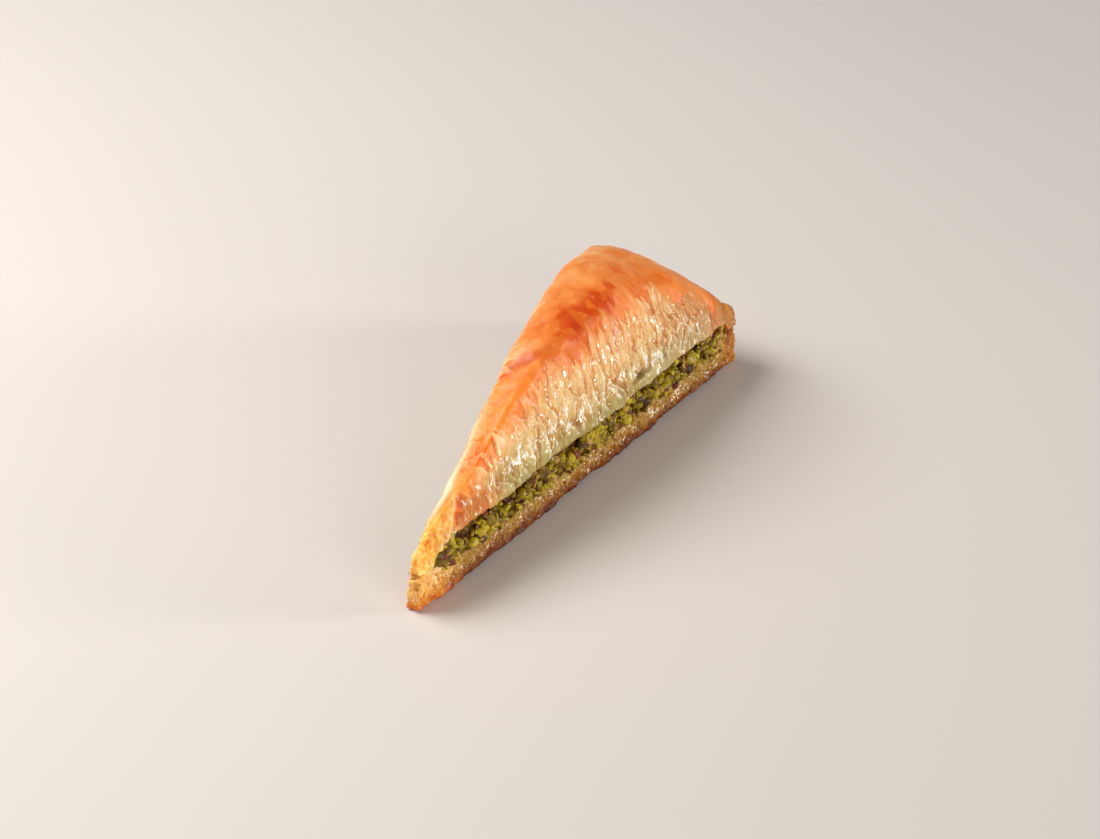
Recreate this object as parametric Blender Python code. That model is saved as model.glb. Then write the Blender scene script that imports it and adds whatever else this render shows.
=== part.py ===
"""A long slice of pistachio baklava, cut from the middle of a round tray out to its rim.

Three pieces lie on each other: the lower stack of pastry sheets, whose outer end turns up as it did
against the tray's wall, the chopped pistachio filling, and the upper stack, which has risen in a dome
and folds down over the filling's outer end. Metres, +Z up. The tip points to -X, the crust to +X, and
the origin is the bottom centre of the slice's bounding box.
"""

import math

import bmesh
import bpy
from mathutils import Vector, noise

MM = 0.001

# The slice as cut
SLICE_LENGTH = 172 * MM  # from the tip to the crust, the radius of the round tray
HALF_ANGLE = math.radians(7.6)
TIP_WIDTH = 4.2 * MM
PIECE_GAP = 0.3 * MM  # between pieces that lie on each other
END_ROUNDING = 1.8 * MM  # draws in the upper and lower edges of both ends
SEAM_ROUNDING = 0.7 * MM  # the same where the two stacks meet at the crust
END_REACH = 6 * MM

# Lower stack of sheets
BASE_THICKNESS = 8.2 * MM
BASE_WAVE = 1.1 * MM
BASE_WAVE_SIZE = 30 * MM
TIP_SWELL = 3.6 * MM  # the sheets have come apart a little at the tip, so the stack is thicker there
TIP_SWELL_REACH = (4 * MM, 22 * MM)
RIM_HEIGHT = 14 * MM  # how far the outer end turns up
RIM_THICKNESS = 7 * MM
RIM_SLOPE = 1.6 * MM  # run of the turned-up wall's inner face
FOOT_LIP = 1.3 * MM  # caramelised foot that stands proud of the cut
FOOT_HEIGHT = 2.2 * MM
FOOT_NOTCH_SIZE = 6 * MM

# Pistachio filling
FILLING_TOP = 17.6 * MM
FILLING_WAVE = 1.0 * MM
FILLING_WAVE_SIZE = 24 * MM
FILLING_START = 11.5 * MM  # from the tip
FILLING_CLOSING = 6.5 * MM  # from the tip, where the upper stack starts to lift off the lower one
FILLING_RECESS = 0.9 * MM
NUT_SIZE = 5 * MM
NUT_RELIEF = 0.9 * MM

# Upper stack of sheets: heights of its two long top edges, at distances from the tip
FRONT_EDGE = (
    (0 * MM, 18.5 * MM),
    (10 * MM, 23.5 * MM),
    (28 * MM, 32.5 * MM),
    (45 * MM, 42 * MM),
    (60 * MM, 47 * MM),
    (80 * MM, 49 * MM),
    (105 * MM, 49.5 * MM),
    (125 * MM, 46.5 * MM),
    (145 * MM, 39.5 * MM),
    (160 * MM, 30 * MM),
    (172 * MM, 22 * MM),
)
BACK_EDGE = (
    (0 * MM, 18 * MM),
    (10 * MM, 22 * MM),
    (28 * MM, 27.5 * MM),
    (45 * MM, 34.5 * MM),
    (60 * MM, 41 * MM),
    (80 * MM, 47.5 * MM),
    (105 * MM, 53 * MM),
    (125 * MM, 53.5 * MM),
    (145 * MM, 48.5 * MM),
    (160 * MM, 38 * MM),
    (172 * MM, 24 * MM),
)
# How far its middle stands above or below a straight line from edge to edge
CROWN = (
    (0 * MM, 0.5 * MM),
    (12 * MM, 0.3 * MM),
    (32 * MM, -1.4 * MM),
    (60 * MM, 0.2 * MM),
    (90 * MM, 2.0 * MM),
    (130 * MM, 2.2 * MM),
    (172 * MM, 0.5 * MM),
)
FRONT_FULLNESS = 3.3  # 2 rounds a shoulder over like an ellipse, and more squares it
BACK_FULLNESS = 4.2
CRUST_FULLNESS = 8.0
CRUST_REACH = 32 * MM
FOLD_RISE = 1.8 * MM  # a sheet folded up along the front edge, near the tip
FOLD_PLACE = (21 * MM, -0.7)  # distance from the tip, and share of the half width
FOLD_REACH = (8 * MM, 0.3)
CUT_LEAN = 2.0 * MM  # the cut face leans in from its lower edge to its top
OVERHANG = 0.9 * MM  # lower edge of the cut face, over the filling
FLUTE_WIDTH = 7 * MM
FLUTE_DEPTH = 0.8 * MM
BLISTER_SIZE = 22 * MM
BLISTER_HEIGHT = 1.6 * MM
BLISTER_START = 40 * MM  # from the tip, where the blisters reach their full height

# How finely the blocks are sliced before they are shaped
SLICES_TIP = 5  # ahead of the filling
SLICES_FILLED = 40
SLICES_CRUST = 7
SLICES_ACROSS = 12
LEVELS_BASE = 5
LEVELS_FILLING = 4
LEVELS_TOP = 8

# Each kind of unevenness reads its own layer of the noise
BASE_LAYER = 1.5
FILLING_LAYER = 4.5
BLISTER_LAYER = 8.5
FOOT_LAYER = 12.5
FLUTE_LAYER = 20.5

COLLECTION = "baklava_slice"
BAKED_BASE = (0.62, 0.33, 0.10)
PISTACHIO = (0.36, 0.34, 0.08)
GLAZED_TOP = (0.80, 0.36, 0.12)


def smooth_step(low, high, value):
    """0 below low, 1 above high, and a smooth rise between them."""
    share = min(1.0, max(0.0, (value - low) / (high - low)))
    return share * share * (3 - 2 * share)


def along(outline, distance):
    """Height of a smooth line through the outline's points, at a distance from the tip."""
    last = len(outline) - 1
    index = max(i for i in range(last) if outline[i][0] <= distance or i == 0)
    before, start, end, after = (outline[min(max(index + i, 0), last)] for i in (-1, 0, 1, 2))
    run = end[0] - start[0]
    start_slope = run * (end[1] - before[1]) / (end[0] - before[0])
    end_slope = run * (after[1] - start[1]) / (after[0] - start[0])
    t = (distance - start[0]) / run
    return (
        (2 * t**3 - 3 * t**2 + 1) * start[1]
        + (t**3 - 2 * t**2 + t) * start_slope
        + (3 * t**2 - 2 * t**3) * end[1]
        + (t**3 - t**2) * end_slope
    )


def wave(distance, across, size, layer):
    """Smooth unevenness from -1 to 1, with bumps of about the given size."""
    return noise.noise(Vector((distance / size, across * 0.8, layer)))


def base_top(distance, across):
    """Upper surface of the lower stack: swollen at the tip, level, and turned up at the crust."""
    unevenness = wave(distance, across, BASE_WAVE_SIZE, BASE_LAYER)
    level = BASE_THICKNESS + BASE_WAVE * unevenness
    level += TIP_SWELL * (1 - smooth_step(*TIP_SWELL_REACH, distance))
    wall = SLICE_LENGTH - RIM_THICKNESS
    turned_up = smooth_step(wall - RIM_SLOPE, wall, distance)
    return level + (RIM_HEIGHT - level) * turned_up


def filling_top(distance, across):
    unevenness = wave(distance, across, FILLING_WAVE_SIZE, FILLING_LAYER)
    return FILLING_TOP + FILLING_WAVE * unevenness


def top_under(distance, across):
    """Lower surface of the upper stack: on the filling, and on the lower stack at both ends."""
    on_filling = filling_top(distance, across) + PIECE_GAP
    on_base = base_top(distance, across) + PIECE_GAP
    filling_end = SLICE_LENGTH - RIM_THICKNESS
    share = smooth_step(FILLING_CLOSING, FILLING_START, distance)
    share *= 1 - smooth_step(filling_end, filling_end + RIM_SLOPE, distance)
    return on_base + (on_filling - on_base) * share


def crown(distance, across):
    """Upper surface of the upper stack: the risen dome with its soft blisters."""
    back = 0.5 + 0.5 * across
    edges = along(FRONT_EDGE, distance) * (1 - back) + along(BACK_EDGE, distance) * back
    blister = wave(distance, across, BLISTER_SIZE, BLISTER_LAYER)
    blister *= BLISTER_HEIGHT * smooth_step(0, BLISTER_START, distance)
    fold = FOLD_RISE * math.exp(
        -(((distance - FOLD_PLACE[0]) / FOLD_REACH[0]) ** 2)
        - ((across - FOLD_PLACE[1]) / FOLD_REACH[1]) ** 2
    )
    return edges + along(CROWN, distance) * (1 - across**2) + blister + fold


def sliced_block(stations, across, levels):
    """A unit block, x from 0 to 1, y from -1 to 1 and z from 0 to 1, sliced at the given places."""
    block = bmesh.new()
    bmesh.ops.create_cube(block, size=1)
    for vertex in block.verts:
        vertex.co = Vector((vertex.co.x + 0.5, vertex.co.y * 2, vertex.co.z + 0.5))
    for axis, places in enumerate((stations, across, levels)):
        normal = Vector((axis == 0, axis == 1, axis == 2))
        for place in places[1:-1]:
            everything = block.verts[:] + block.edges[:] + block.faces[:]
            bmesh.ops.bisect_plane(
                block, geom=everything, plane_co=normal * place, plane_no=normal
            )
    return block


def even(count, low=0.0, high=1.0):
    """Evenly spaced places from low to high."""
    return [low + (high - low) * i / count for i in range(count + 1)]


def crowded(count):
    """Places from -1 to 1 that lie closer together towards both ends."""
    return [-math.cos(math.pi * place) for place in even(count)]


def placed(distance, across, height, proud):
    """A point of the slice: its distance from the tip, its share of the half angle, its height, and
    how far it stands proud of the cut where it lies on it."""
    turn = across * HALF_ANGLE
    side = distance * math.sin(turn) + across * (TIP_WIDTH / 2 + proud)
    return Vector((distance * math.cos(turn), side, height))


def end_rounding(distance, level, at_seam):
    """How far a stack's two ends draw in at an upper or lower edge."""
    edge = abs(2 * level - 1) ** 4
    near_tip = 1 - smooth_step(0, END_REACH, distance)
    near_crust = smooth_step(SLICE_LENGTH - END_REACH, SLICE_LENGTH, distance)
    crust_rounding = SEAM_ROUNDING if at_seam else END_ROUNDING
    return edge * (END_ROUNDING * near_tip - crust_rounding * near_crust)


def rounded_over(across, level, fullness):
    """A point of the block's section, with its upper corners rounded over to a superellipse."""
    reach = (abs(across) ** fullness + level**fullness) ** (1 / fullness)
    if reach == 0:
        return across, level
    share = max(abs(across), level) / reach
    return across * share, level * share


def base_shape(distance, across, level):
    """The lower stack: a flat bottom, a ragged foot, and an upper surface with the turned-up end."""
    height = base_top(distance, across) * level
    foot = FOOT_LIP * (1 - smooth_step(0, FOOT_HEIGHT, height))
    ragged = 0.5 + 0.9 * wave(distance, across, FOOT_NOTCH_SIZE, FOOT_LAYER)
    drawn_in = end_rounding(distance, level, True) * (level > 0.5)
    return placed(distance + drawn_in, across, height, foot * ragged)


def filling_shape(distance, across, level):
    """The filling: between the two stacks, set back a little, with the relief of chopped nuts."""
    low = base_top(distance, across) + PIECE_GAP
    high = top_under(distance, across) - PIECE_GAP
    height = low + (high - low) * level
    nut = Vector((distance, across * 8 * MM, height * 1.6))
    relief = NUT_RELIEF * noise.noise(nut / NUT_SIZE)
    return placed(distance, across, height, relief - FILLING_RECESS)


def top_shape(distance, across, level):
    """The upper stack: fluted cut faces that lean in, under a dome with rounded shoulders."""
    squared = smooth_step(SLICE_LENGTH - CRUST_REACH, SLICE_LENGTH, distance)
    fullness = FRONT_FULLNESS + (BACK_FULLNESS - FRONT_FULLNESS) * (0.5 + 0.5 * across)
    fullness += (CRUST_FULLNESS - fullness) * squared
    flute = FLUTE_DEPTH * wave(distance, level * 0.6, FLUTE_WIDTH, FLUTE_LAYER)
    proud = OVERHANG - (OVERHANG + CUT_LEAN) * level + flute * (1 - level**2)
    drawn_in = end_rounding(distance, level, level < 0.5)
    across, level = rounded_over(across, level, fullness)
    low, high = top_under(distance, across), crown(distance, across)
    return placed(distance + drawn_in, across, low + (high - low) * level, proud)


def pastry_finish(name, colour, roughness):
    finish = bpy.data.materials.new(name)
    finish.use_nodes = True
    shader = finish.node_tree.nodes["Principled BSDF"]
    shader.inputs["Base Color"].default_value = (*colour, 1)
    shader.inputs["Roughness"].default_value = roughness
    shader.inputs["Metallic"].default_value = 0
    return finish


def shaped(name, finish, stations, levels, shape):
    """One piece: a sliced block whose vertices go where shape(distance, across, level) says."""
    block = sliced_block(even(len(stations) - 1), crowded(SLICES_ACROSS), even(levels))
    last = len(stations) - 1
    for vertex in block.verts:
        distance = stations[round(vertex.co.x * last)]
        vertex.co = shape(distance, vertex.co.y, vertex.co.z)
    mesh = bpy.data.meshes.new(name)
    block.to_mesh(mesh)
    block.free()
    mesh.shade_smooth()
    mesh.materials.append(finish)
    piece = bpy.data.objects.new(name, mesh)
    bpy.data.collections[COLLECTION].objects.link(piece)
    return piece


def centre(pieces):
    """Move the meshes so that the bounding box's bottom centre is the origin."""
    points = [vertex.co for piece in pieces for vertex in piece.data.vertices]
    low = Vector(min(point[axis] for point in points) for axis in range(3))
    high = Vector(max(point[axis] for point in points) for axis in range(3))
    middle = (low + high) / 2
    for point in points:
        point.x -= middle.x
        point.y -= middle.y
        point.z -= low.z


def main():
    for old in list(bpy.data.objects):
        bpy.data.objects.remove(old)
    collection = bpy.data.collections.new(COLLECTION)
    bpy.context.scene.collection.children.link(collection)
    filling_end = SLICE_LENGTH - RIM_THICKNESS - RIM_SLOPE - PIECE_GAP
    tip = even(SLICES_TIP, 0, FILLING_START)
    filled = even(SLICES_FILLED, FILLING_START, filling_end)
    crust = even(SLICES_CRUST, filling_end, SLICE_LENGTH)
    whole = tip[:-1] + filled + crust[1:]

    base_finish = pastry_finish("bottom_pastry", BAKED_BASE, 0.35)
    nut_finish = pastry_finish("pistachio_filling", PISTACHIO, 0.5)
    top_finish = pastry_finish("top_pastry", GLAZED_TOP, 0.25)
    bottom = shaped("bottom_pastry", base_finish, whole, LEVELS_BASE, base_shape)
    filling = shaped("pistachio_filling", nut_finish, filled, LEVELS_FILLING, filling_shape)
    top = shaped("top_pastry", top_finish, whole, LEVELS_TOP, top_shape)
    centre((bottom, filling, top))


main()
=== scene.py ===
"""Looks of a long slice of pistachio baklava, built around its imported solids.

Metres, +Z up. The tip of the slice points to -X, its crust to +X, and it rests on z = 0.
"""

import math

import bmesh
import bpy
import numpy as np
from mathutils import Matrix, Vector, noise
from mathutils.bvhtree import BVHTree


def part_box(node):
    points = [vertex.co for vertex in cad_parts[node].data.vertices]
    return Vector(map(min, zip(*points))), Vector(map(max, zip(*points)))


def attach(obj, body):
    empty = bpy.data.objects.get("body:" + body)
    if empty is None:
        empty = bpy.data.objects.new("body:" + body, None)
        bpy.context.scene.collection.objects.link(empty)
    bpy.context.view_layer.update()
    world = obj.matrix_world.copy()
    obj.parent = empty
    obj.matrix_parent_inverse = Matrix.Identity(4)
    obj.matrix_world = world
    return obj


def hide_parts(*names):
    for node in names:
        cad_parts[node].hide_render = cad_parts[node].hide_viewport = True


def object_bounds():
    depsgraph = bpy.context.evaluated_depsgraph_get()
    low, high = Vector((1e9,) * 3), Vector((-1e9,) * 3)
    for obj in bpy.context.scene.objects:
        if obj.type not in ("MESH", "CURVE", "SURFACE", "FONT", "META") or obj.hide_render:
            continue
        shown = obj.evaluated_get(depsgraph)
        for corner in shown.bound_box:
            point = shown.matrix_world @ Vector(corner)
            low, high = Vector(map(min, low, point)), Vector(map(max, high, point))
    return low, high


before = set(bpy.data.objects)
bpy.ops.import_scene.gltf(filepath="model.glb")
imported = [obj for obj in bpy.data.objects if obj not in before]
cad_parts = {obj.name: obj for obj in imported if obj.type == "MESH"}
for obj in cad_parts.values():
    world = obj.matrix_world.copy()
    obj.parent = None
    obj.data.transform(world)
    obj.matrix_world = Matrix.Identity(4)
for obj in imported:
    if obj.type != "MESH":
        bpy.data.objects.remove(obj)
cad_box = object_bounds()
MM = 0.001

# ------------------------------------------------------------------------------------------------
# Camera: a long lens from ahead of the tip and above, so that one cut face shows in full.
# ------------------------------------------------------------------------------------------------
VIEW_TARGET = Vector((25.5, 12.4, 0)) * MM
VIEW_HEADING = math.radians(27.14)  # from +X towards +Y
VIEW_PITCH = math.radians(32.28)
VIEW_DISTANCE = 1.0987
VIEW_LENS = 113.66  # on a 36 mm sensor

view = bpy.data.cameras.new("view")
view.lens = VIEW_LENS
view.sensor_width = 36
view.clip_start = 0.05
camera = bpy.data.objects.new("view", view)
bpy.context.scene.collection.objects.link(camera)
back = Vector((-math.cos(VIEW_HEADING), -math.sin(VIEW_HEADING), math.tan(VIEW_PITCH)))
camera.location = VIEW_TARGET + back.normalized() * VIEW_DISTANCE
camera.rotation_euler = (math.pi / 2 - VIEW_PITCH, 0, VIEW_HEADING - math.pi / 2)
bpy.context.scene.camera = camera

# ------------------------------------------------------------------------------------------------
# Lower stack: some twenty thin sheets that lay in syrup. They are pressed together, amber and
# half clear at the cut, and their underside has caramelised into a ragged brown foot.
# ------------------------------------------------------------------------------------------------
LENGTH = 172 * MM
HALF_ANGLE = math.radians(7.6)
TIP_WIDTH = 4.2 * MM
TIP_X = cad_box[0][0]
FOOT_HEIGHT = 3.0 * MM


def step(low, high, values):
    """0 below low, 1 above high, and a smooth rise between them."""
    share = np.clip((values - low) / (high - low), 0, 1)
    return share * share * (3 - 2 * share)


def slice_places(points):
    """Distance from the tip, share of the half width (-1 at the front cut), and height."""
    distance = points[:, 0] - TIP_X
    half_width = distance * math.sin(HALF_ANGLE) + TIP_WIDTH / 2
    return distance, points[:, 1] / half_width, points[:, 2]


def bumps(points, size, layer):
    """Smooth noise from -1 to 1 at each point, with bumps of the given size or (x, y, z) sizes."""
    scaled = points / np.array(size) + layer
    return np.array([noise.noise(Vector(place)) for place in scaled.tolist()])


def creases(points, size, layer):
    """Noise from 0 to 1 that comes to sharp crests, like crumpled thin sheets."""
    return 1 - 2 * np.abs(bumps(points, size, layer))


def cells(across, along, seed):
    """The nearest cell of an uneven pattern with one cell a unit.

    Gives two random numbers of the cell's own, the way from its middle, and how near its edge is:
    0 in the middle and about 1 at the edge.
    """
    table = np.random.default_rng(seed).random((61, 61, 4))
    column, row = np.floor(across).astype(int), np.floor(along).astype(int)
    best = np.full(across.shape, 9.0)
    found = np.zeros(across.shape + (4,))
    for i in (-1, 0, 1):
        for j in (-1, 0, 1):
            cell = table[(column + i) % 61, (row + j) % 61]
            aside = across - (column + i + cell[:, 0])
            above = along - (row + j + cell[:, 1])
            far = aside**2 + above**2
            nearer = far < best
            best = np.where(nearer, far, best)
            values = np.stack([cell[:, 2] - 0.5, cell[:, 3] - 0.5, aside, above], axis=1)
            found = np.where(nearer[:, None], values, found)
    return (*found.T, np.sqrt(best))


def leaves(across, along, seed):
    """Overlapping upright leaves, about one to a unit square, of which the foremost counts.

    Gives how far forward it stands, its tone (a random number of its own), and the way from its
    middle as shares of its half width and half height.
    """
    table = np.random.default_rng(seed).random((61, 61, 7))
    column, row = np.floor(across).astype(int), np.floor(along).astype(int)
    front = np.full(across.shape, -0.6)
    found = np.zeros(across.shape + (3,))
    for i in (-1, 0, 1):
        for j in (-1, 0, 1):
            leaf = table[(column + i) % 61, (row + j) % 61].T
            above = (along - (row + j + leaf[1])) / (0.7 + 0.3 * leaf[3])
            lean = 0.5 * (leaf[4] - 0.5)
            aside = (across - (column + i + leaf[0]) + lean * above) / (0.5 + 0.4 * leaf[2])
            inside = np.abs(aside) < (1 - above**2) * (1 - 0.3 * above)
            forward = 0.9 * leaf[5] + 0.8 * (leaf[6] - 0.5) * aside + 0.35 * above - 0.35 * aside**2
            nearer = inside & (forward > front)
            front = np.where(nearer, forward, front)
            values = np.stack([leaf[2] * 0.5 + leaf[6] * 0.5, aside, above], axis=1)
            found = np.where(nearer[:, None], values, found)
    return (front, *found.T)


def lit_and_shaded(leaf):
    """The two edges of each leaf: the one in the light and the one in shade, from 0 to 1."""
    front, _, aside, above = leaf
    outline = np.maximum((1 - above**2) * (1 - 0.3 * above), 0.05)
    edge = step(0.5, 0.95, np.abs(aside) / outline) * (front > -0.55)
    return edge * (aside > 0), edge * (aside < 0)


def only(piece):
    """Make a piece the one that is selected and active."""
    bpy.ops.object.select_all(action="DESELECT")
    piece.select_set(True)
    bpy.context.view_layer.objects.active = piece


def apply(piece, kind, **settings):
    """Finish a piece with a modifier, and apply it."""
    only(piece)
    modifier = piece.modifiers.new(kind.lower(), kind)
    for key, value in settings.items():
        setattr(modifier, key, value)
    bpy.ops.object.modifier_apply(modifier=modifier.name)


def fine_copy(node_name, name, grain):
    """A node's solid as a piece of its own, with an even fine mesh."""
    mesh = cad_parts[node_name].data.copy()
    piece = bpy.data.objects.new(name, mesh)
    bpy.context.scene.collection.objects.link(piece)
    mesh.materials.clear()
    only(piece)
    bpy.ops.object.mode_set(mode="EDIT")
    bpy.ops.mesh.select_all(action="SELECT")
    bpy.ops.mesh.remove_doubles(threshold=0.00001)
    bpy.ops.mesh.tris_convert_to_quads()
    bpy.ops.object.mode_set(mode="OBJECT")
    apply(piece, "SUBSURF", levels=2, render_levels=2)
    apply(piece, "REMESH", mode="VOXEL", voxel_size=grain)
    apply(piece, "SMOOTH", factor=0.5, iterations=4)
    return piece


def finer_cuts(piece, least=0.45):
    """Halve the mesh of the two long cut faces, which carry the finest detail."""
    only(piece)
    for polygon in piece.data.polygons:
        polygon.select = abs(polygon.normal.y) > least
    bpy.ops.object.mode_set(mode="EDIT")
    bpy.ops.mesh.select_mode(type="FACE")
    bpy.ops.mesh.subdivide(number_cuts=1, quadcorner="INNERVERT")
    bpy.ops.object.mode_set(mode="OBJECT")


def read(piece):
    """The vertices and normals of a piece as arrays."""
    count = len(piece.data.vertices)
    points, normals = np.empty(count * 3), np.empty(count * 3)
    piece.data.vertices.foreach_get("co", points)
    piece.data.vertex_normals.foreach_get("vector", normals)
    return points.reshape(-1, 3), normals.reshape(-1, 3)


def write(piece, points):
    piece.data.vertices.foreach_set("co", points.ravel())
    piece.data.update()


def mark(piece, name, values):
    """Store one number at each vertex, for the material to read."""
    layer = piece.data.attributes.new(name, "FLOAT", "POINT")
    layer.data.foreach_set("value", np.asarray(values, dtype=np.float32))


def colour(code):
    """Linear RGBA of an sRGB hex code."""
    parts = [int(code[i : i + 2], 16) / 255 for i in (0, 2, 4)]
    return (*[p / 12.92 if p <= 0.04045 else ((p + 0.055) / 1.055) ** 2.4 for p in parts], 1)


def node(tree, kind, settings=None, links=None):
    """Add a node to a material, with its settings and the links into it."""
    new = tree.nodes.new("ShaderNode" + kind)
    for key, value in (settings or {}).items():
        if isinstance(key, int) or key in new.inputs:
            new.inputs[key].default_value = value
        elif key == "ramp":
            elements = new.color_ramp.elements
            while len(elements) < len(value):
                elements.new(1)
            for element, (position, code) in zip(elements, value):
                element.position = position
                element.color = colour(code)
        else:
            setattr(new, key, value)
    for key, source in (links or {}).items():
        tree.links.new(source, new.inputs[key])
    return new


def new_material(name, roughness, coat, coat_roughness, glow, glow_radius, specular=0.5):
    """A material with the shader numbers that are the same all over it."""
    material = bpy.data.materials.new(name)
    material.use_nodes = True
    shader = material.node_tree.nodes["Principled BSDF"]
    shader.inputs["Roughness"].default_value = roughness
    shader.inputs["Specular IOR Level"].default_value = specular
    shader.inputs["Coat Weight"].default_value = coat
    shader.inputs["Coat Roughness"].default_value = coat_roughness
    shader.inputs["Subsurface Weight"].default_value = glow
    shader.inputs["Subsurface Radius"].default_value = glow_radius
    shader.inputs["Subsurface Scale"].default_value = 1 * MM
    return material, material.node_tree, shader


def glints(tree, place, shader, size, tilt, share=None):
    """Crinkle the syrup film into flat facets of the given (x, y, z) size that catch the light."""
    scale = tuple(1 / value for value in size)
    place = node(tree, "VectorMath", {"operation": "MULTIPLY", 1: scale}, {0: place}).outputs[0]
    waver = node(tree, "TexNoise", {"Scale": 1.1, "Detail": 2}, {"Vector": place})
    place = node(tree, "VectorMath", {"operation": "ADD"}, {0: place, 1: waver.outputs["Color"]}).outputs[0]
    facet = node(tree, "TexVoronoi", {"Scale": 1}, {"Vector": place}).outputs["Color"]
    facet = node(tree, "VectorMath", {"operation": "SUBTRACT", 1: (0.5, 0.5, 0.3)}, {0: facet}).outputs[0]
    facet = node(tree, "VectorMath", {"operation": "SCALE", "Scale": tilt}, {0: facet})
    if share:
        strength = node(tree, "Math", {"operation": "MULTIPLY", 1: tilt}, {0: share})
        tree.links.new(strength.outputs[0], facet.inputs["Scale"])
    plain = node(tree, "NewGeometry").outputs["Normal"]
    tilted = node(tree, "VectorMath", {"operation": "ADD"}, {0: plain, 1: facet.outputs[0]}).outputs[0]
    tilted = node(tree, "VectorMath", {"operation": "NORMALIZE"}, {0: tilted}).outputs[0]
    tree.links.new(tilted, shader.inputs["Coat Normal"])


def flecks(tree, place, size, level, push=None):
    """A mask of small spots of the given (x, y, z) size in loose clusters: the higher the level,
    the fewer. A push of 0 to 1 makes more of them."""
    scale = tuple(1 / value for value in size)
    fine = node(tree, "VectorMath", {"operation": "MULTIPLY", 1: scale}, {0: place}).outputs[0]
    fine = node(tree, "TexNoise", {"Scale": 1, "Detail": 1.5, "Roughness": 0.5}, {"Vector": fine}).outputs[0]
    where = node(tree, "TexNoise", {"Scale": 240, "Detail": 2}, {"Vector": place}).outputs[0]
    amount = node(tree, "Math", {"operation": "MULTIPLY_ADD", 1: 0.8}, {0: where, 2: fine}).outputs[0]
    if push:
        amount = node(tree, "Math", {"operation": "MULTIPLY_ADD", 1: 0.25}, {0: push, 2: amount}).outputs[0]
    return node(tree, "MapRange", {1: level, 2: level + 0.07, 3: 0.0, 4: 0.9}, {0: amount}).outputs[0]


def seams(tree, place, size, width, most):
    """A mask of thin wandering lines, drawn out as far as the (x, y, z) size says."""
    scale = tuple(1 / value for value in size)
    place = node(tree, "VectorMath", {"operation": "MULTIPLY", 1: scale}, {0: place}).outputs[0]
    ridge = node(tree, "TexNoise", {"Scale": 1, "Detail": 1.5}, {"Vector": place}).outputs[0]
    ridge = node(tree, "Math", {"operation": "SUBTRACT", 1: 0.5}, {0: ridge}).outputs[0]
    ridge = node(tree, "Math", {"operation": "ABSOLUTE"}, {0: ridge}).outputs[0]
    return node(tree, "MapRange", {1: 0.0, 2: width, 3: most, 4: 0.0}, {0: ridge}).outputs[0]


def blend(tree, share, first, second, kind="MIX"):
    """The colour between two colours, as a socket."""
    links = {key: value for key, value in ((0, share), (6, first), (7, second)) if not isinstance(value, (float, tuple))}
    settings = {key: value for key, value in ((0, share), (6, first), (7, second)) if isinstance(value, (float, tuple))}
    return node(tree, "Mix", {"data_type": "RGBA", "blend_type": kind, **settings}, links).outputs[2]


base = fine_copy("bottom_pastry", "lower_sheets", 0.62 * MM)
finer_cuts(base)
points, normals = read(base)
distance, across, height = slice_places(points)
cut = step(0.4, 0.8, np.abs(normals[:, 1]))
crust = step(LENGTH - 13 * MM, LENGTH - 5 * MM, distance)
shown = np.maximum(cut, step(0.3, 0.7, np.abs(normals[:, 0])))
ledge = step(5 * MM, 8.5 * MM, height) * (1 - crust)
foot = 1 - step(0.8 * MM, FOOT_HEIGHT, height)
side = np.sign(across) * 40
aside = distance + 0.2 * height + 0.8 * MM * bumps(points, 5 * MM, 0.4)
first = leaves(aside / (1.5 * MM), height / (1.9 * MM) + side, 21)
second = leaves(aside / (0.9 * MM), height / (0.8 * MM) + side, 22)
crumple = 0.8 * first[0] + 0.5 * second[0] - 0.5
broad = bumps(points, (7 * MM, 7 * MM, 3 * MM), 3.3)
ragged = bumps(points, (8 * MM, 8 * MM, 12 * MM), 9.9) + 0.5 * bumps(points, (2.7 * MM, 2.7 * MM, 5 * MM), 8.9)
relief = (0.65 * crumple + 0.5 * broad - 0.35 * ledge) * MM * shown * (1 - 0.5 * foot)
relief += 0.9 * MM * ragged * foot * shown
relief *= 0.3 + 0.7 * step(0.1 * MM, 1.0 * MM, height)
points = points + normals * relief[:, None]
upper_edge = step(5.5 * MM, 8 * MM, height) * cut * (1 - crust)
points[:, 2] += upper_edge * MM * (0.7 * bumps(points * (1, 0, 0), 4 * MM, 4.8) + 0.4 * bumps(points * (1, 0, 0), 1.6 * MM, 4.1))
points[:, 2] += 0.6 * MM * crust * step(10 * MM, 13.5 * MM, height)
points[:, 2] = np.maximum(points[:, 2], 0)
write(base, points)
mark(base, "rise", height / (10 * MM) + 0.12 * bumps(points, (6 * MM, 6 * MM, 2 * MM), 6.1))
mark(base, "crust", crust)
mark(base, "near_tip", 1 - step(6 * MM, 26 * MM, distance))
mark(base, "crest", np.clip(0.45 + crumple * 0.5, 0, 1))
# Where the coat shines and where painted sparks gather: more above the foot, less by the crust
wet = 0.35 + 0.65 * step(1.8 * MM, 4 * MM, height + 0.6 * MM * ragged)
mark(base, "wet", wet * (1 - 0.7 * step(LENGTH - 14 * MM, LENGTH - 7 * MM, distance)))
base.data.shade_smooth()
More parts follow.
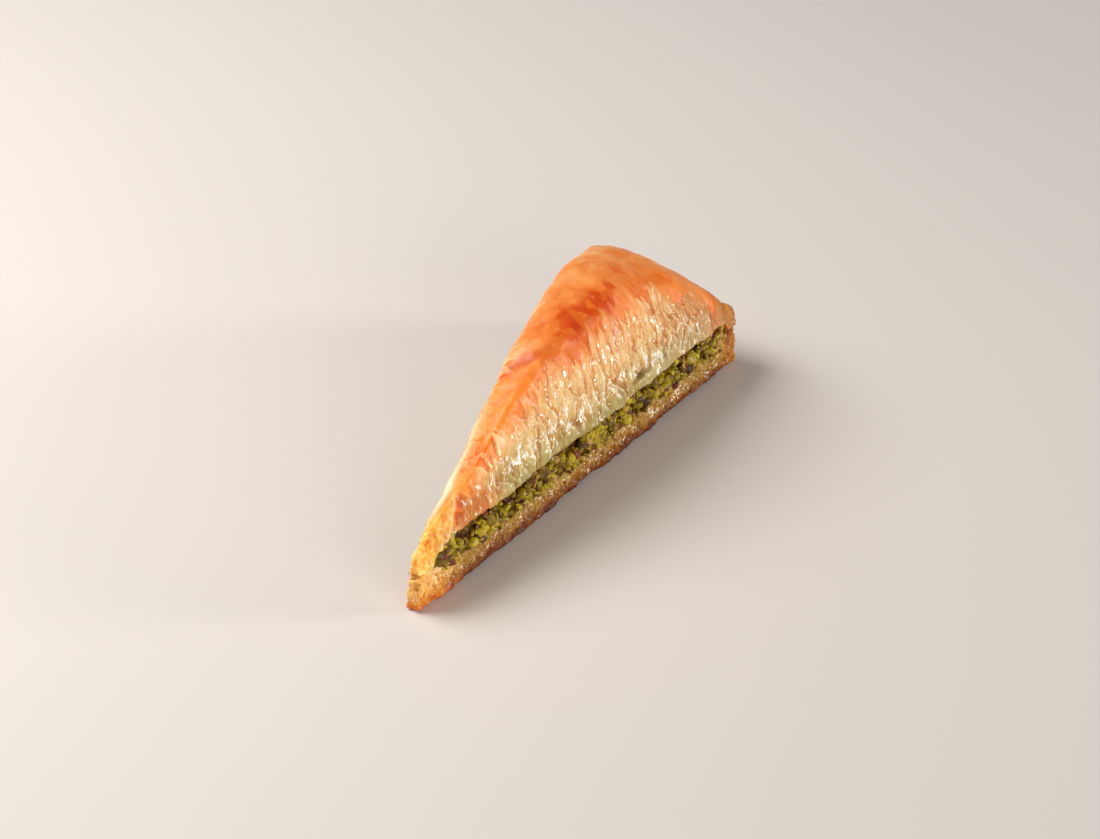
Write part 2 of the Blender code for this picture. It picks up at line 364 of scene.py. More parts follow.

# Syrup-soaked phyllo: amber jelly-like sheets whose coat shines in small glints, with painted highlights as small pale
# specks
soaked, tree, shader = new_material("syrup_soaked_phyllo", 0.42, 0.7, 0.12, 0.3, (2.2, 1.0, 0.3), 0.08)
place = node(tree, "TexCoord").outputs["Object"]
rise = node(tree, "Attribute", {"attribute_name": "rise"}).outputs["Fac"]
crest = node(tree, "Attribute", {"attribute_name": "crest"}).outputs["Fac"]
wet = node(tree, "Attribute", {"attribute_name": "wet"}).outputs["Fac"]
mottle = node(tree, "TexNoise", {"Scale": 420, "Detail": 4, "Roughness": 0.6}, {"Vector": place})
blotch = node(tree, "TexNoise", {"Scale": 110, "Detail": 3}, {"Vector": place})
uneven = node(tree, "Math", {"operation": "MULTIPLY_ADD", 1: 0.5, 2: -0.25}, {0: mottle.outputs[0]})
uneven = node(tree, "Math", {"operation": "ADD"}, {0: uneven.outputs[0], 1: rise}).outputs[0]
sides = node(
    tree,
    "ValToRGB",
    {"ramp": [(0.0, "441400"), (0.2, "7c3c00"), (0.42, "9c6c10"), (0.66, "a88026"), (1.0, "b49644")]},
    {0: uneven},
).outputs[0]
tip_share = node(tree, "Attribute", {"attribute_name": "near_tip"}).outputs["Fac"]
tip_tone = node(tree, "ValToRGB", {"ramp": [(0.1, "d87008"), (0.35, "e89a24"), (0.7, "fcc468")]}, {0: uneven}).outputs[0]
crust_share = node(tree, "Attribute", {"attribute_name": "crust"}).outputs["Fac"]
crust_tone = node(tree, "ValToRGB", {"ramp": [(0.3, "8c4a08"), (0.5, "b06e1c"), (0.7, "ca8e3c")]}, {0: blotch.outputs[0]}).outputs[0]
toned = blend(tree, tip_share, sides, tip_tone)
toned = blend(tree, crust_share, toned, crust_tone)
# Painted shade and light from the relief: hollows of the crumpled sheets darker and warmer, crests paler
shade = node(tree, "ValToRGB", {"ramp": [(0.1, "c89060"), (0.45, "f0e0c8"), (0.8, "ffffff")]}, {0: crest}).outputs[0]
toned = blend(tree, 0.8, toned, shade, "MULTIPLY")
# Painted highlights: small pale specks stand for glints of the syrup, more where the shine mask is high
painted_sparks = flecks(tree, place, (0.0005, 0.0005, 0.0009), 1.29, wet)
toned = blend(tree, painted_sparks, toned, colour("ffe8c4"))
grain = node(tree, "TexNoise", {"Scale": 1500, "Detail": 3}, {"Vector": place})
bump = node(tree, "Bump", {"Strength": 0.5, "Distance": 0.0004}, {"Height": grain.outputs[0]})
film = node(tree, "MapRange", {1: 0.0, 2: 1.0, 3: 0.5, 4: 1.05}, {0: wet}).outputs[0]
glints(tree, place, shader, (0.0008, 0.0008, 0.0008), 0.9, film)
cover = node(tree, "MapRange", {1: 0.35, 2: 1.0, 3: 0.4, 4: 0.7}, {0: wet}).outputs[0]
tree.links.new(cover, shader.inputs["Coat Weight"])
tree.links.new(toned, shader.inputs["Base Color"])
tree.links.new(bump.outputs[0], shader.inputs["Normal"])
base.data.materials.append(soaked)
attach(base, "root")
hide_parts("bottom_pastry")

# ------------------------------------------------------------------------------------------------
# Filling: pistachios chopped to pieces of 1 to 5 mm, bound with syrup. Behind the loose pieces at
# the cut lies the imported bed, painted dark as the shade between the nuts.
# ------------------------------------------------------------------------------------------------
NUTS_A_SIDE = 1100

bed = fine_copy("pistachio_filling", "nut_bed", 0.75 * MM)
points, normals = read(bed)
distance, across, height = slice_places(points)
cut = step(0.4, 0.8, np.abs(normals[:, 1]))
relief = (0.9 * bumps(points, 2.6 * MM, 1.3) + 0.5 * bumps(points, 1.3 * MM, 2.3) - 0.5) * MM * cut
points = points + normals * relief[:, None]
# Its ends reach into the pastry around them
points[:, 1] *= 1 - 0.25 * (1 - step(9 * MM, 13 * MM, distance))
points[:, 0] -= 4.8 * MM * (1 - step(10.5 * MM, 18 * MM, distance))
points[:, 0] += 2 * MM * step(LENGTH - 18 * MM, LENGTH - 12 * MM, distance)
write(bed, points)
bed.data.shade_smooth()
packed, tree, shader = new_material("nut_paste_and_painted_shade", 0.5, 0.15, 0.1, 0.0, (1, 1, 1), 0.1)
place = node(tree, "TexCoord").outputs["Object"]
mottle = node(tree, "TexNoise", {"Scale": 500, "Detail": 5}, {"Vector": place})
# Olive brown paste, darkest where the mottle is low: painted shade between the nuts
tone = node(tree, "ValToRGB", {"ramp": [(0.35, "240e02"), (0.5, "5a3a06"), (0.68, "846a0c")]}, {0: mottle.outputs[0]})
tree.links.new(tone.outputs[0], shader.inputs["Base Color"])
bed.data.materials.append(packed)
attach(bed, "root")
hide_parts("pistachio_filling")

# The chopped pieces that show at both cuts
rng = np.random.default_rng(11)
low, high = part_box("pistachio_filling")
block = bmesh.new()
bmesh.ops.create_icosphere(block, subdivisions=2, radius=1)
ball = np.array([vertex.co[:] for vertex in block.verts])
triangles = np.array([[vertex.index for vertex in face.verts] for face in block.faces])
block.free()
corners, faces, tones, skins = [], [], [], []
for side in (-1, 1):
    for number in range(NUTS_A_SIDE):
        far = rng.uniform(low[0] + (0.5 if side < 0 else 0) * MM, high[0] - 0.3 * MM)
        half_width = (far - TIP_X) * math.sin(HALF_ANGLE) + TIP_WIDTH / 2
        size = rng.choice((0.5, 0.8, 1.2, 1.8, 2.5), p=(0.22, 0.3, 0.27, 0.16, 0.05)) * rng.uniform(0.8, 1.2) * MM
        up = rng.uniform(8.0 * MM + size * 0.5, 18.8 * MM - size * 0.8)
        # A crumb of pastry, not of nut: most of them are low down or by the crust
        by_crust = step(LENGTH - 18 * MM, LENGTH - 10 * MM, far - TIP_X)
        pastry = rng.random() < 0.08 + 0.25 * (up < 10 * MM) + 0.4 * by_crust
        # Here and there a nut has dropped out and left a gap, where the bed shows dark as painted shade
        if noise.noise(Vector((far / (3.5 * MM), side + up / (3 * MM), 2.5))) > 0.33:
            continue
        # The upper stack hangs clear of the nuts in places
        if up > 14 * MM and noise.noise(Vector((far / (7 * MM), side, 0.5))) > 0.1:
            up -= 3.5 * MM
        deep = half_width + 0.5 * MM - size * rng.uniform(0.3, 1.1)
        if side > 0:
            deep -= 1.5 * MM * (1 - step(low[0] + 4 * MM, low[0] + 12 * MM, far))
        # Some are splinters from along a nut
        splinter = 0.9 * (rng.random() < 0.18 and size < 1.8 * MM)
        stretch = np.array((rng.uniform(0.9, 1.4) + splinter, rng.uniform(0.8, 1.1), rng.uniform(0.7, 1.0)))
        shape = ball * stretch
        # Chopping leaves flat facets where a blade passed
        for facet in range(7):
            plane = rng.normal(size=3)
            plane /= np.linalg.norm(plane)
            beyond = np.maximum(shape @ plane - rng.uniform(0.45, 0.85), 0)
            shape = shape - beyond[:, None] * plane
        turn, _ = np.linalg.qr(rng.normal(size=(3, 3)))
        shape = shape @ (turn * np.sign(np.linalg.det(turn)))
        centre = np.array((far, side * deep, up))
        faces.append(triangles + len(ball) * len(faces))
        corners.append(shape * size + centre)
        tones.append(np.full(len(ball), rng.uniform(0.95, 1.2) if pastry else rng.random() * 0.9))
        skin_side = rng.normal(size=3)
        skin_side /= np.linalg.norm(skin_side)
        skinned = rng.random() < 0.38 and not pastry
        skins.append(step(0.1, 0.3, shape @ skin_side) * skinned)
mesh = bpy.data.meshes.new("chopped_pistachios")
mesh.from_pydata(np.concatenate(corners).tolist(), [], np.concatenate(faces).tolist())
nuts = bpy.data.objects.new("chopped_pistachios", mesh)
bpy.context.scene.collection.objects.link(nuts)
mark(nuts, "tone", np.concatenate(tones))
mark(nuts, "skin", np.concatenate(skins))
mesh.shade_smooth()

kernel, tree, shader = new_material("chopped_pistachio", 0.45, 0.45, 0.14, 0.12, (0.9, 0.8, 0.1), 0.1)
place = node(tree, "TexCoord").outputs["Object"]
tone = node(tree, "Attribute", {"attribute_name": "tone"}).outputs["Fac"]
skin = node(tree, "Attribute", {"attribute_name": "skin"}).outputs["Fac"]
mottle = node(tree, "TexNoise", {"Scale": 420, "Detail": 3}, {"Vector": place})
mixed = node(tree, "Math", {"operation": "MULTIPLY_ADD", 1: 0.6, 2: -0.3}, {0: mottle.outputs[0]})
mixed = node(tree, "Math", {"operation": "ADD"}, {0: mixed.outputs[0], 1: tone}).outputs[0]
green = node(
    tree,
    "ValToRGB",
    {"ramp": [(0.0, "442a00"), (0.2, "6e5002"), (0.45, "8c7204"), (0.7, "a69008"), (0.86, "c6b01c"), (1.0, "b48838")]},
    {0: mixed},
).outputs[0]
brown = node(tree, "ValToRGB", {"ramp": [(0.3, "3c0806"), (0.7, "883c30")]}, {0: mottle.outputs[0]}).outputs[0]
grain = node(tree, "TexNoise", {"Scale": 1500, "Detail": 3}, {"Vector": place})
bump = node(tree, "Bump", {"Strength": 0.5, "Distance": 0.0004}, {"Height": grain.outputs[0]})
glints(tree, place, shader, (0.0008, 0.0008, 0.0008), 0.7)
toned = blend(tree, skin, green, brown)
# Painted highlights: small near-white specks stand for glints of syrup on the nuts
toned = blend(tree, flecks(tree, place, (0.0005, 0.0005, 0.0005), 1.17), toned, colour("fff0dc"))
tree.links.new(toned, shader.inputs["Base Color"])
tree.links.new(bump.outputs[0], shader.inputs["Normal"])
nuts.data.materials.append(kernel)
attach(nuts, "root")

# ------------------------------------------------------------------------------------------------
# Upper stack: some forty buttered sheets that rose in the oven. The top is glazed orange with
# syrup over overlapping sheets; the knife left the cut ends crumpled into upright pale leaves.
# ------------------------------------------------------------------------------------------------
LEAF_WIDTH = 4.2 * MM
LEAF_HEIGHT = 8.0 * MM
TONGUE_WIDTH = 3.6 * MM  # the long leaves that bend over the shoulder into the glaze
TONGUE_HEIGHT = 9 * MM
# Where the glaze ends on the front cut: height at distances from the tip, in mm
GLAZE_REACH = (
    (0, 15),
    (10, 19),
    (20, 23),
    (29, 28),
    (41, 34),
    (54, 39.5),
    (64, 43.5),
    (76, 45),
    (88, 43.5),
    (98, 45),
    (108, 44),
    (118, 43),
    (132, 41.5),
    (143, 36),
    (155, 30),
    (163, 23),
    (172, 17),
)
BACK_EXTRA = ((0, 0), (28, -4), (60, -3), (90, 1), (125, 6), (150, 6), (172, 2))

top = fine_copy("top_pastry", "upper_sheets", 0.62 * MM)
points, normals = read(top)
distance, across, height = slice_places(points)
# The sheets bend softly over the front shoulder towards the tip
shoulder = top.vertex_groups.new(name="shoulder")
soft = step(14 * MM, 24 * MM, distance) * (1 - step(55 * MM, 80 * MM, distance)) * step(-0.2, 0.3, -across)
soft *= step(-3, 1, height / MM - np.interp(distance / MM, *zip(*GLAZE_REACH)))
for index in np.flatnonzero(soft > 0.02).tolist():
    shoulder.add([index], soft[index], "REPLACE")
apply(top, "SMOOTH", factor=0.5, iterations=70, vertex_group="shoulder")
finer_cuts(top)
points, normals = read(top)
distance, across, height = slice_places(points)
facing = np.abs(normals[:, 1])
under = step(0.3, 0.7, -normals[:, 2])
end = step(LENGTH - 14 * MM, LENGTH - 4 * MM, distance + 2 * MM * bumps(points, 4 * MM, 7.3))
tip = 1 - step(8 * MM, 24 * MM, distance + 4 * MM * bumps(points, 5 * MM, 7.1))
front_share = 0.5 - 0.5 * np.clip(across, -1, 1)
side = np.sign(across) * 40
drift = MM * (2.5 * bumps(points, 14 * MM, 4.4) + 0.5 * bumps(points, 3 * MM, 4.9))
run = distance + 0.2 * (height - 18 * MM) + drift
first = leaves(run / LEAF_WIDTH, (height + 1.3 * drift) / LEAF_HEIGHT + side, 5)
second = leaves(run / (0.4 * LEAF_WIDTH) + 7, (height - drift) / (0.38 * LEAF_HEIGHT) + side, 6)
tongue = leaves(run / TONGUE_WIDTH, (height + drift) / TONGUE_HEIGHT + side, 8)


def depth_under_glaze(distance, height):
    """How far a place on a cut face lies under the edge of the glaze, in mm."""
    reach = np.interp(distance / MM, *zip(*GLAZE_REACH))
    reach += (1 - front_share) * np.interp(distance / MM, *zip(*BACK_EXTRA))
    return reach - height / MM


wander = 2.2 * bumps(points * (1, 0, 0), 8 * MM, 5.7)
depth = depth_under_glaze(distance, height) + wander
# A long leaf is glazed or not as a whole, so its own middle counts
middle = depth_under_glaze(distance - tongue[2] * 0.7 * TONGUE_WIDTH, height - tongue[3] * 0.85 * TONGUE_HEIGHT)
ragged = 1.5 * bumps(points * (1, 1, 0.4), 2.4 * MM, 9.7) + 0.8 * bumps(points, 1.2 * MM, 9.1)
glazed = step(-3, 2.5, 0.5 * middle + 0.5 * depth + 0.5 * wander + 5 * (tongue[1] - 0.5) + ragged)
on_side = step(0.15, 0.5, facing) * (1 - under)
cut = on_side * glazed
over = (1 - cut) * (1 - under)
low_edge = 1 - step(18.5 * MM, 23 * MM, height)
swell = bumps(points, (12 * MM, 12 * MM, 9 * MM), 2.6)
wrinkle = creases(points + drift[:, None], (4 * MM, 4 * MM, 0.9 * MM), 3.1) - 0.5
below = step(1, 9, depth)
upright_folds = creases(np.stack([run, side, height * 0.3], axis=1), 3 * MM, 5.2) - 0.4
lit, shaded = lit_and_shaded(first)
fine_lit, fine_shaded = lit_and_shaded(second)
# The leaves are long and wide in the middle, and small towards the crust
long_leaf = 1 - 0.6 * step(105 * MM, 125 * MM, distance)
gap = shaded + 0.5 * fine_shaded
lit, shaded, fine_lit, fine_shaded = lit * long_leaf, shaded * long_leaf, fine_lit / long_leaf, fine_shaded / long_leaf
leaf = below * (0.6 * first[0] * long_leaf + 0.25 * second[0] / long_leaf + 0.45 * upright_folds + 0.15 * wrinkle) + (1 - below) * 0.7 * tongue[0] - 0.4
cut_relief = 0.75 * leaf * (1 - 0.5 * low_edge) * step(-6, 4, depth) + 0.5 * swell
patchy = 0.35 * bumps(points, (7 * MM, 7 * MM, 4 * MM), 3.9)
# Each leaf has a tone of its own, a lit edge and one in shade
crest = 0.52 + 0.3 * leaf + 0.5 * patchy + below * (0.35 * (first[1] - 0.5) + 0.2 * (second[1] - 0.5))
crest += below * (0.4 * lit - 0.35 * shaded + 0.25 * fine_lit - 0.25 * fine_shaded)

# A pocket between two sheets on the front cut, dented in and painted dark brown inside as shade, over a smooth lip
pocket_far = (distance - 114.5 * MM) / (3.6 * MM)
pocket_up = (height - 22.8 * MM - 0.1 * (distance - 114 * MM)) / (0.8 * MM)
front_cut = step(0.5, 0.9, -across)
pocket = np.exp(-(pocket_far**2) - pocket_up**2) * front_cut
lip_far, lip_up = (distance - 117 * MM) / (6 * MM), (height - 21 * MM) / (2 * MM)
lip = np.exp(-(lip_far**4) - lip_up**4) * front_cut
cut_relief = cut_relief * (1 - 0.85 * lip) + 0.5 * lip - 2.2 * pocket

# A flap folded over near the tip: its free edge slants up and back from where the filling starts
past_edge = distance / MM - 10.5 - 0.85 * (height / MM - 14) - 0.8 * bumps(points, 3 * MM, 4.6)
near_flap = step(0.1, 0.6, -across) * (1 - step(26 * MM, 36 * MM, distance))
flap = (1 - step(-0.4, 0.5, past_edge)) * near_flap
flap_edge = np.exp(-(((past_edge + 0.9) / 0.9) ** 2)) * near_flap
# Behind the flap's edge, and along a fold low on the tip, a hollow dents in and is painted darker amber as shade
hollow = np.exp(-(((past_edge - 2.2) / 2.6) ** 2)) * near_flap
tip_fold = np.exp(-(((height / MM - 11.5 - bumps(points, 3 * MM, 6.2)) / 1.6) ** 2)) * tip
hollow = np.maximum(hollow, tip_fold)

# Overlapping sheets under the glaze, soft folds and small blisters
warped = points + 3 * MM * np.stack([bumps(points, 12 * MM, i + 0.5) for i in range(3)], axis=1)
sheet = cells(warped[:, 0] / (8 * MM), warped[:, 1] / (5 * MM), 9)
patch = cells(warped[:, 0] / (4.5 * MM) + 9, warped[:, 1] / (4 * MM), 10)
scrap = cells(points[:, 0] / (3.4 * MM) + 4, (points[:, 1] + 0.6 * points[:, 0]) / (2.4 * MM), 12)
folds = creases(warped * (1, 1, 0.4), (15 * MM, 9 * MM, 20 * MM), 6.6) - 0.5
blister = np.maximum(bumps(points, 1.7 * MM, 1.1) - 0.45, 0) * 3
top_relief = 0.25 * sheet[0] * sheet[2] + 0.18 * sheet[1] + 0.1 * patch[1] + 0.12 * scrap[1] + 0.5 * folds
top_relief += 0.3 * bumps(points, 5 * MM, 5.5) + 0.2 * blister
# A trough between the front shoulder and the standing back rim
long_way = step(12 * MM, 26 * MM, distance) * (1 - step(50 * MM, 75 * MM, distance))
top_relief *= 1 - 0.5 * long_way
top_relief -= (1.2 * np.exp(-(((across + 0.1) / 0.4) ** 2)) + 0.9 * np.exp(-(((across + 0.8) / 0.25) ** 2))) * long_way
# The dome's sheets end there in a lobe, over a deep crease painted deeper orange as shade
past_lobe = distance / MM - 70 - 42 * np.maximum(-across, 0) ** 2 + 8 * np.maximum(across, 0) + bumps(points, 5 * MM, 3.6)
crease = np.exp(-((past_lobe / 3.2) ** 2)) * step(-0.55, -0.2, across)
lobe = np.exp(-(((past_lobe - 7) / 5) ** 2)) * (1 - step(0.3, 0.8, across)) * step(-0.6, -0.2, across)
top_relief += 0.3 * lobe - 0.5 * crease

# The tip has crumbled into lumps, and the crust is rough and frayed
lump = 0.8 * bumps(points, 3.2 * MM, 2.2) + 0.35 * creases(points, 3.4 * MM, 2.4) + 0.7 * bumps(points, 1.2 * MM, 2.7) - 0.2
crumb = 0.8 * bumps(points, 1.6 * MM, 1.9) + 0.5 * bumps(points, 0.8 * MM, 1.4)
frayed = creases(points, (3 * MM, 3 * MM, 5 * MM), 2.9) - 0.5
end_relief = (0.45 * crumb + 0.7 * frayed * step(0.3, 0.8, normals[:, 0])) * end
relief = cut_relief * on_side * (1 - 0.6 * end) * (1 - 0.5 * tip) + top_relief * over * (1 - 0.5 * end)
relief = (relief + 0.7 * lump * tip + end_relief + 0.5 * flap + 0.6 * flap_edge - 0.8 * hollow) * (1 - under)
relief -= 0.8 * tip * (1 - step(14 * MM, 18 * MM, height))
points = points + normals * relief[:, None] * MM
# The lower edge wanders, and closes on the lower stack at the crust
edge = 1 - step(17.5 * MM, 22 * MM, height)
points[:, 2] += edge * MM * (0.9 * bumps(points * (1, 0, 0), 4.5 * MM, 8.8) + 0.4 * bumps(points * (1, 0, 0), 1.8 * MM, 8.1)) * (1 - end)
points[:, 2] -= (0.6 * end + 1.0 * tip) * MM * (1 - step(14.5 * MM, 18 * MM, height))
write(top, points)
crest = np.clip(crest + (0.55 - crest) * np.maximum(lip, 0.6 * low_edge), 0, 1)
mark(top, "crest", crest)
band = np.exp(-(((height - 26.5 * MM) / (3 * MM)) ** 2)) * step(32 * MM, 42 * MM, distance) * (1 - step(112 * MM, 130 * MM, distance))
low_at_crust = step(112 * MM, 122 * MM, distance) * (1 - step(150 * MM, 158 * MM, distance)) * (1 - step(23 * MM, 30 * MM, height))
# Where painted sparks gather: crests, lit leaf edges, a band above the lower lip and low by the crust
wet = 0.35 * crest + 0.35 * lit + 0.3 * fine_lit + 0.45 * band
wet += 0.35 * low_at_crust - 0.2 * step(118 * MM, 150 * MM, distance) - 0.4 * low_edge
mark(top, "wet", np.clip(wet, 0, 1))
thin = bumps(points, (3 * MM, 3 * MM, 5 * MM), 3.4) + 0.3
mark(top, "lit", np.clip(below * (0.7 * lit + 0.5 * fine_lit) * thin * 1.6, 0, 0.75) * (1 - 0.6 * low_edge))
mark(top, "low_at_crust", 0.4 * low_at_crust)
# Orange in the gaps between leaves under the glaze edge: partly syrup run down, partly painted shade on each leaf's
# shaded edge
gap *= step(-4, 0, depth) * (1 - step(5, 15, depth)) * step(60 * MM, 80 * MM, distance) * (1 - end)
mark(top, "gap", np.clip(0.7 * gap * (first[1] > 0.3), 0, 0.9))
mark(top, "lump", np.clip(0.5 + 0.4 * lump, 0, 1))
mark(top, "cut", cut)
crinkled = cut * step(-1.5, 3.5, depth)
mark(top, "crinkled", crinkled)
# The syrup has soaked in along the edge of the glaze, so it shines less there
soaked = np.exp(-(((depth + 3) / 4.5) ** 2)) * step(0.1, 0.5, -across) * step(58 * MM, 72 * MM, distance)
mark(top, "film", np.clip(0.34 + 0.51 * crinkled - 0.3 * soaked - 0.12 * lobe, 0.04, 0.85))
mark(top, "sheet", np.clip(0.5 + 0.3 * sheet[1] + 0.25 * patch[1] + 0.3 * scrap[1] + 0.3 * sheet[0] * sheet[2], 0, 1))
mark(top, "rise", (height / MM - 16) / 30 + 0.05 * swell)
mark(top, "warmth", np.maximum(1 - step(-1, 7, depth), 1 - step(28 * MM, 46 * MM, distance + 0.3 * (height - 20 * MM))))
mark(top, "amber", (1 - step(30 * MM, 40 * MM, distance)) * (1 - step(23 * MM, 31 * MM, height)))
toward_crust = step(118 * MM, 160 * MM, distance) * (1 - step(0.3, 0.9, crest) * 0.5)
toward_crust += 0.5 * step(138 * MM, 158 * MM, distance) * (1 - step(20 * MM, 30 * MM, height))
mark(top, "toward_crust", np.clip(toward_crust, 0, 1))
pool = np.exp(-(((depth + 2) / 2.6) ** 2)) * step(66 * MM, 78 * MM, distance) * (1 - step(100 * MM, 114 * MM, distance))
mark(top, "pool", 0.75 * pool * step(0.2, 0.6, -across))
mark(top, "hollow", hollow)
mark(top, "flap_edge", 0.8 * flap_edge)
mark(top, "dark_sheets", np.clip(0.5 + 1.1 * patch[1] * (1 - 0.7 * step(0.45, 0.85, patch[4])) + 0.6 * scrap[0], 0, 1))
mark(top, "crust", end)
mark(top, "pocket", pocket)
mark(top, "trough", long_way)
mark(top, "crease", 0.8 * crease)
rim = step(0.1, 0.5, across + 0.12 * bumps(points, 6 * MM, 8.3)) * (1 - step(0.5, 4, depth))
rim *= 1 - step(0.7, 0.95, normals[:, 1])
mark(top, "pale_rim", rim * step(8 * MM, 16 * MM, distance) * (1 - step(34 * MM, 64 * MM, distance)))
mark(top, "near_tip", tip * (1 - 0.75 * tip_fold))
mark(top, "dark", np.exp(-(((distance - 100 * MM) / (28 * MM)) ** 2) - ((across + 0.5) / 0.6) ** 2))
top.data.shade_smooth()

# Baked phyllo under syrup: pale and half clear at the cut, orange and satin under the glaze
phyllo, tree, shader = new_material("baked_phyllo_in_syrup", 0.4, 0.9, 0.14, 0.8, (3.0, 1.8, 0.9), 0.15)
place = node(tree, "TexCoord").outputs["Object"]
(
    crest,
    wet,
    lit,
    low_at_crust,
    gap,
    flap_edge,
    lump,
    sheet,
    dark_sheets,
    cut_mark,
    crinkled,
    film,
    rise,
    warmth,
    amber,
    toward_crust,
    crust,
    pocket,
    pool,
    hollow,
    crease,
    trough,
    pale_rim,
    near_tip,
    dark,
) = (
    node(tree, "Attribute", {"attribute_name": name}).outputs["Fac"]
    for name in (
        "crest",
        "wet",
        "lit",
        "low_at_crust",
        "gap",
        "flap_edge",
        "lump",
        "sheet",
        "dark_sheets",
        "cut",
        "crinkled",
        "film",
        "rise",
        "warmth",
        "amber",
        "toward_crust",
        "crust",
        "pocket",
        "pool",
        "hollow",
        "crease",
        "trough",
        "pale_rim",
        "near_tip",
        "dark",
    )
)
# Upright streaks of the leaves' edges
stretched = node(tree, "VectorMath", {"operation": "MULTIPLY", 1: (1300, 1300, 260)}, {0: place}).outputs[0]
streak = node(tree, "TexNoise", {"Scale": 1, "Detail": 3, "Roughness": 0.6}, {"Vector": stretched}).outputs[0]
mottle = node(tree, "TexNoise", {"Scale": 170, "Detail": 4, "Roughness": 0.6}, {"Vector": place}).outputs[0]
uneven = node(tree, "Math", {"operation": "MULTIPLY_ADD", 1: 0.3, 2: -0.15}, {0: mottle})
uneven = node(tree, "Math", {"operation": "ADD"}, {0: uneven.outputs[0], 1: rise}).outputs[0]
# The cut's tone by height is partly the sheets' own colour, greenish cream low and peach high, and partly painted
# light: darker low down, lighter towards the top where light from above falls
cut_tone = node(
    tree,
    "ValToRGB",
    {"ramp": [(0.0, "98905c"), (0.14, "aa9c60"), (0.27, "beaa6a"), (0.42, "d6b67c"), (0.65, "e8c48c"), (0.95, "ecb880")]},
    {0: uneven},
).outputs[0]
stretched = node(tree, "VectorMath", {"operation": "MULTIPLY", 1: (520, 520, 170)}, {0: place}).outputs[0]
fold = node(tree, "TexNoise", {"Scale": 1, "Detail": 2}, {"Vector": stretched}).outputs[0]
# The streaks' own tones plus the crest of the relief with its lit and shaded leaf edges: what reads this paints shade
# into the hollows and light onto the crests
streaked = node(tree, "Math", {"operation": "ADD"}, {0: streak, 1: fold}).outputs[0]
streaked = node(tree, "Math", {"operation": "MULTIPLY_ADD", 1: 0.45, 2: -0.45}, {0: streaked}).outputs[0]
streaked = node(tree, "Math", {"operation": "ADD"}, {0: streaked, 1: crest}).outputs[0]
warm_tone = node(
    tree, "ValToRGB", {"ramp": [(0.1, "e08030"), (0.4, "f4ac5c"), (0.8, "fcd4a0")]}, {0: streaked}
).outputs[0]
cut_tone = blend(tree, warmth, cut_tone, warm_tone)
cut_tone = blend(tree, amber, cut_tone, colour("c87c24"))
cut_tone = blend(tree, toward_crust, cut_tone, colour("bc8042"))
# Painted shade: the hollows behind the flap and in the tip's fold darker amber
cut_tone = blend(tree, hollow, cut_tone, colour("c86414"))
# Painted shade and light from the relief: hollows between leaves darker orange, crests pale
shade = node(
    tree, "ValToRGB", {"ramp": [(0.08, "dc9850"), (0.3, "f0c488"), (0.52, "fcecd0"), (0.8, "fffff4")]}, {0: streaked}
).outputs[0]
cut_tone = blend(tree, 0.8, cut_tone, shade, "MULTIPLY")
# Syrup orange and painted shade in the gaps between leaves
cut_tone = blend(tree, gap, cut_tone, colour("d87424"))
# Painted light: the lit edge of each leaf paler, and small white dashes and specks stand for glints of the syrup film.
# Low by the crust the sheets are a pale greenish cream of their own.
cut_tone = blend(tree, low_at_crust, cut_tone, colour("c0b480"))
cut_tone = blend(tree, lit, cut_tone, colour("ffecc8"))
painted_dashes = flecks(tree, place, (0.0009, 0.0009, 0.0026), 1.15, wet)
cut_tone = blend(tree, painted_dashes, cut_tone, colour("ffeccc"))
painted_sparks = flecks(tree, place, (0.0006, 0.0006, 0.0014), 1.18, wet)
cut_tone = blend(tree, painted_sparks, cut_tone, colour("ffffff"))
broad = node(tree, "TexNoise", {"Scale": 45, "Detail": 3}, {"Vector": place}).outputs[0]
baked = node(tree, "Math", {"operation": "MULTIPLY_ADD", 1: 0.5}, {0: sheet, 2: broad}).outputs[0]
baked = node(tree, "Math", {"operation": "MULTIPLY_ADD", 1: -0.36}, {0: dark, 2: baked}).outputs[0]
top_tone = node(
    tree,
    "ValToRGB",
    {"ramp": [(0.2, "c84808"), (0.5, "e67420"), (0.8, "f09248"), (1.0, "f6ac68")]},
    {0: baked},
).outputs[0]
rim_tone = node(tree, "ValToRGB", {"ramp": [(0.4, "ffbc74"), (0.65, "ffe0ae"), (0.9, "fff0cc")]}, {0: baked}).outputs[0]
trough_tone = node(tree, "ValToRGB", {"ramp": [(0.4, "f06c0c"), (0.85, "ff9c34")]}, {0: baked}).outputs[0]
sheets = node(tree, "ValToRGB", {"ramp": [(0.2, "e89460"), (0.5, "f8ece4"), (0.8, "ffffff")]}, {0: dark_sheets}).outputs[0]
top_tone = blend(tree, dark, top_tone, blend(tree, 1.0, top_tone, sheets, "MULTIPLY"))
top_tone = blend(tree, trough, top_tone, trough_tone)
# Painted shade: the crease deeper orange
top_tone = blend(tree, crease, top_tone, colour("d4500c"))
toned = blend(tree, cut_mark, top_tone, cut_tone)
toned = blend(tree, pool, toned, colour("e0700c"))
toned = blend(tree, pale_rim, toned, rim_tone)
toned = blend(tree, flap_edge, toned, colour("ffd8a4"))
# Tip tone from the lumps: partly the crumbs' own tones, partly painted shade in the dips between lumps and lighter tops
tip_tone = node(
    tree, "ValToRGB", {"ramp": [(0.1, "e08818"), (0.4, "f4ac38"), (0.6, "fcc860"), (0.85, "ffe4a8")]}, {0: lump}
).outputs[0]
# Painted highlights: small pale specks stand for tiny glints on the tip
tip_tone = blend(tree, flecks(tree, place, (0.0006, 0.0006, 0.0006), 1.1), tip_tone, colour("fff4d8"))
toned = blend(tree, near_tip, toned, tip_tone)
crust_tone = node(
    tree, "ValToRGB", {"ramp": [(0.3, "8c4a08"), (0.5, "b06e1c"), (0.7, "ca8e3c")]}, {0: mottle}
).outputs[0]
toned = blend(tree, crust, toned, crust_tone)
# Painted shade inside the pocket between two sheets
toned = blend(tree, pocket, toned, colour("7c4c10"))
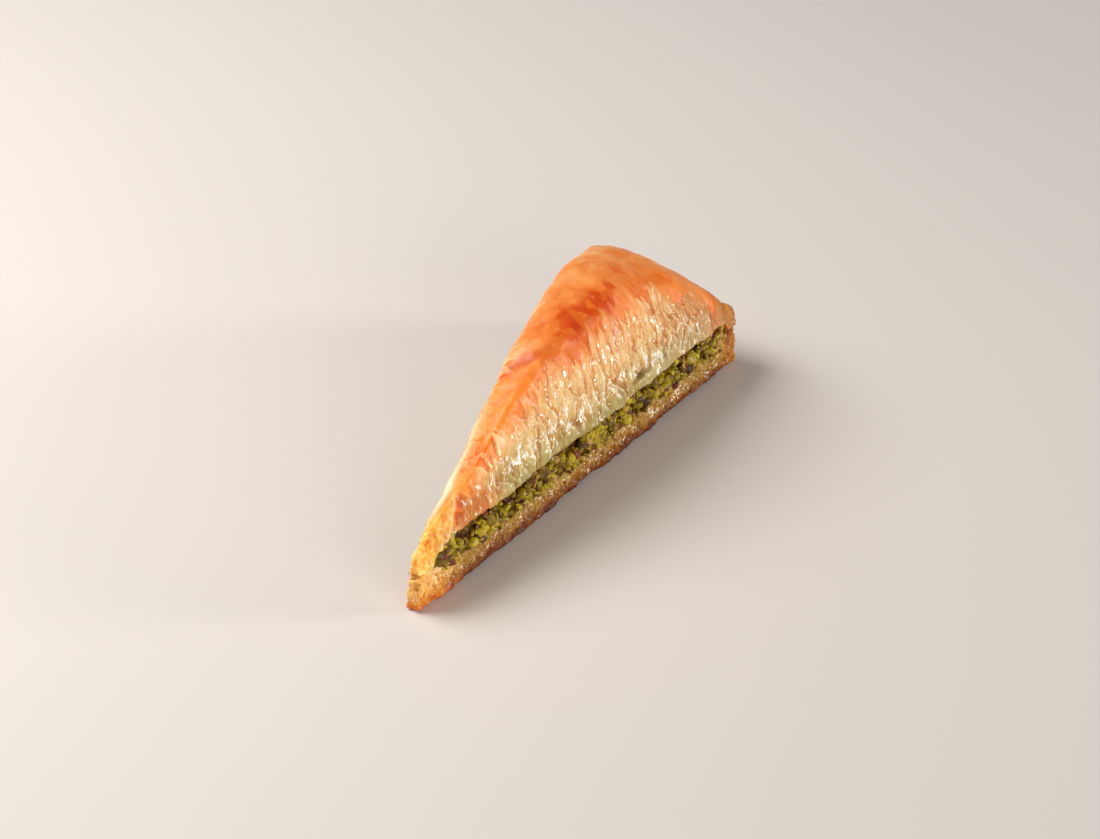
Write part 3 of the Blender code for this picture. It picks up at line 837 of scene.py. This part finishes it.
# Rough at the cut, smooth under the glaze
bump_height = node(tree, "Math", {"operation": "MULTIPLY"}, {0: streak, 1: cut_mark}).outputs[0]
bump = node(tree, "Bump", {"Strength": 0.35, "Distance": 0.0005}, {"Height": bump_height})
facets = node(tree, "MapRange", {1: 0.0, 2: 1.0, 3: 0.2, 4: 1.3}, {0: crinkled}).outputs[0]
glints(tree, place, shader, (0.0009, 0.0009, 0.002), 0.9, facets)
coat_roughness = node(tree, "MapRange", {1: 0.0, 2: 1.0, 3: 0.36, 4: 0.16}, {0: crinkled}).outputs[0]
tree.links.new(coat_roughness, shader.inputs["Coat Roughness"])
tree.links.new(film, shader.inputs["Coat Weight"])
tree.links.new(toned, shader.inputs["Base Color"])
tree.links.new(bump.outputs[0], shader.inputs["Normal"])
top.data.materials.append(phyllo)
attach(top, "root")
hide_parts("top_pastry")

# ------------------------------------------------------------------------------------------------
# Studio: a pale matt floor, a broad soft light behind on the left and others on the right.
# ------------------------------------------------------------------------------------------------
bpy.ops.mesh.primitive_plane_add(size=6, location=(0, 0, -0.05 * MM))
floor = bpy.context.object
floor.name = "floor"
pale, tree, shader = new_material("pale_floor", 0.6, 0.0, 0.0, 0.0, (1, 1, 1))
shader.inputs["Base Color"].default_value = colour("dcd3cb")
floor.data.materials.append(pale)


def soft_light(name, heading, pitch, reach, size, power, tint="ffffff"):
    """An area light that looks at the slice from a heading (degrees from +X) and a pitch."""
    light = bpy.data.lights.new(name, "AREA")
    light.size = size
    light.energy = power
    light.color = colour(tint)[:3]
    lamp = bpy.data.objects.new(name, light)
    bpy.context.scene.collection.objects.link(lamp)
    heading, pitch = math.radians(heading), math.radians(pitch)
    aim = Vector((math.cos(heading) * math.cos(pitch), math.sin(heading) * math.cos(pitch), math.sin(pitch)))
    lamp.location = aim * reach
    lamp.rotation_euler = aim.to_track_quat("Z", "Y").to_euler()
    return lamp


soft_light("key", 105, 47, 0.9, 0.6, 9.6)
soft_light("side", -62, 12, 1.2, 0.25, 7)
soft_light("front", -125, 12, 1.4, 0.9, 11)
world = bpy.data.worlds.new("studio")
bpy.context.scene.world = world
world.use_nodes = True
world.node_tree.nodes["Background"].inputs[0].default_value = colour("f4f2f0")
world.node_tree.nodes["Background"].inputs[1].default_value = 0.17
bpy.context.scene.view_settings.view_transform = "Standard"
